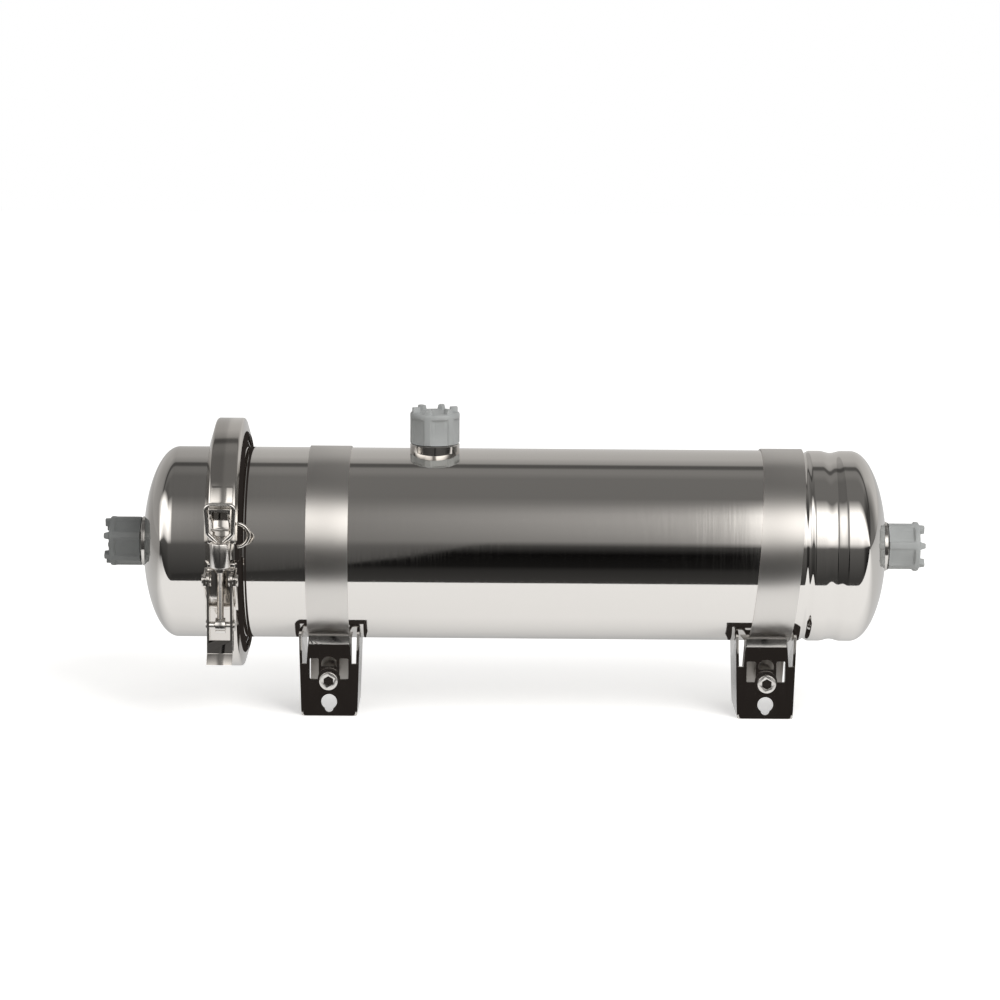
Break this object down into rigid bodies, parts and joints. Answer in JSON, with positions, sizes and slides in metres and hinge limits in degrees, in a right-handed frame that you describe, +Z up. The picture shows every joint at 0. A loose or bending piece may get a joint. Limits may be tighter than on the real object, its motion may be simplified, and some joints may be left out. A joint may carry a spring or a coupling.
{
  "type": "ultrafiltration membrane module",
  "caption": "Polished steel membrane housing: a domed tube with a clamped lid, capped pipe ports and strap feet with keyholes.",
  "frame": {"origin": "on the tube's axis, midway between the two end ports", "axes": "+X along the tube from the clamped lid to the welded end, +Z up through the flush port, latch and foot plates on the -Y side"},
  "size_m": [0.4386, 0.1505, 0.1638],
  "materials": {
    "polished_steel": "mirror polished stainless steel",
    "clamp_steel": "polished stainless steel",
    "port_steel": "turned and polished stainless steel",
    "satin_strap": "satin rolled stainless strip",
    "foot_steel": "polished folded stainless sheet",
    "fastener_steel": "machined stainless steel",
    "grey_cap": "moulded grey polypropylene",
    "seal_rubber": "moulded rubber",
    "cartridge_plastic": "moulded white plastic",
    "potting_resin": "cast resin",
    "membrane_fibre": "bundled hollow fibres"
  },
  "bodies": {
    "housing": {"barrel": "polished_steel", "cartridge_carrier": "cartridge_plastic", "cartridge_tube": "cartridge_plastic", "clamp_band": "clamp_steel", "collector_cup": "cartridge_plastic", "fibre_bundle": "membrane_fibre", "flush_port": "port_steel", "inlet_cup": "cartridge_plastic", "inlet_port": "port_steel", "inlet_potting": "potting_resin", "latch_base": "clamp_steel", "latch_catch": "clamp_steel", "left_ear_packing": "fastener_steel", "left_foot": "foot_steel", "left_foot_bolt": "fastener_steel", "left_foot_nut": "fastener_steel", "left_foot_spacer": "fastener_steel", "left_foot_washers": "fastener_steel", "left_strap": "satin_strap", "lid": "polished_steel", "lid_gasket": "seal_rubber", "nozzle_seal": "seal_rubber", "outlet_port": "port_steel", "outlet_potting": "potting_resin", "pivot_rivets": "fastener_steel", "right_ear_packing": "fastener_steel", "right_foot": "foot_steel", "right_foot_bolt": "fastener_steel", "right_foot_nut": "fastener_steel", "right_foot_spacer": "fastener_steel", "right_foot_washers": "fastener_steel", "right_strap": "satin_strap", "seal_loop": "clamp_steel"},
    "lever": {"latch_lever": "clamp_steel", "rod_pin": "fastener_steel"},
    "draw_rod": {"draw_rod": "fastener_steel", "adjusting_sleeve": "fastener_steel", "locknut": "fastener_steel", "draw_link": "fastener_steel"},
    "inlet_cap_body": {"inlet_cap": "grey_cap", "inlet_cap_washer": "seal_rubber"},
    "outlet_cap_body": {"outlet_cap": "grey_cap", "outlet_cap_washer": "seal_rubber"},
    "flush_cap_body": {"flush_cap": "grey_cap", "flush_cap_washer": "seal_rubber"}
  },
  "joints": [
    {"name": "lever_open", "type": "hinge", "parent": "housing", "child": "lever", "pos_m": [-0.152, -0.074, -0.0065], "axis": [-1, 0, 0], "range_deg": [0, 120]},
    {"name": "rod_swing", "type": "hinge", "parent": "lever", "child": "draw_rod", "pos_m": [-0.152, -0.0725, -0.0305], "axis": [-1, 0, 0], "range_deg": [-112, 0.5]},
    {"name": "inlet_cap_turn", "type": "hinge", "parent": "housing", "child": "inlet_cap_body", "pos_m": [-0.2, 0, 0], "axis": [-1, 0, 0], "continuous": true},
    {"name": "outlet_cap_turn", "type": "hinge", "parent": "housing", "child": "outlet_cap_body", "pos_m": [0.2, 0, 0], "axis": [1, 0, 0], "continuous": true},
    {"name": "flush_cap_turn", "type": "hinge", "parent": "housing", "child": "flush_cap_body", "pos_m": [-0.043, 0, 0.0542], "axis": [0, 0, 1], "continuous": true}
  ],
  "couplings": [
    {"joint": "rod_swing", "follows": "lever_open", "ratio": -0.9}
  ]
}
